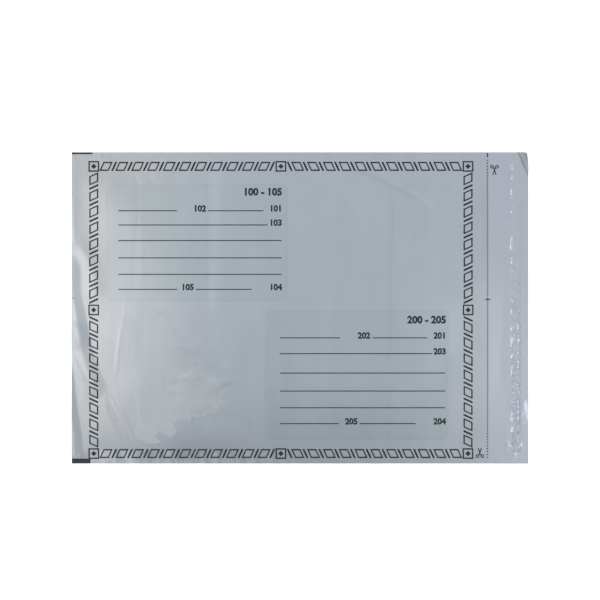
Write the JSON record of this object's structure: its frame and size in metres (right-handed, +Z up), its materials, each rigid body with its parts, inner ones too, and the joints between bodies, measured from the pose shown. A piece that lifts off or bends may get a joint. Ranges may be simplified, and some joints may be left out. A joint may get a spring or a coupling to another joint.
{
  "type": "poly mailer bag",
  "caption": "Empty flat postal bag of folded plastic film, open at one end, with a sealing flap that has a strip of glue under a peel-off liner. It lies printed side up.",
  "frame": {"origin": "below the middle of the whole bag, flap included, on the surface that it lies on", "axes": "+X from the fold towards the flap's free end, +Y across the bag towards the curled corner's side, +Z up, out of the printed side"},
  "size_m": [0.44, 0.3, 0.0057],
  "materials": {
    "film": "pale grey-blue polyethylene film, semi-gloss, slightly see-through, printed on its upper side in black line work and pale blue-green panels",
    "adhesive": "tacky hot-melt glue, milky",
    "liner": "siliconised white film tape, satin"
  },
  "bodies": {
    "root": {"bag_film": "film", "adhesive_strip": "adhesive", "release_liner": "liner"}
  },
  "joints": []
}
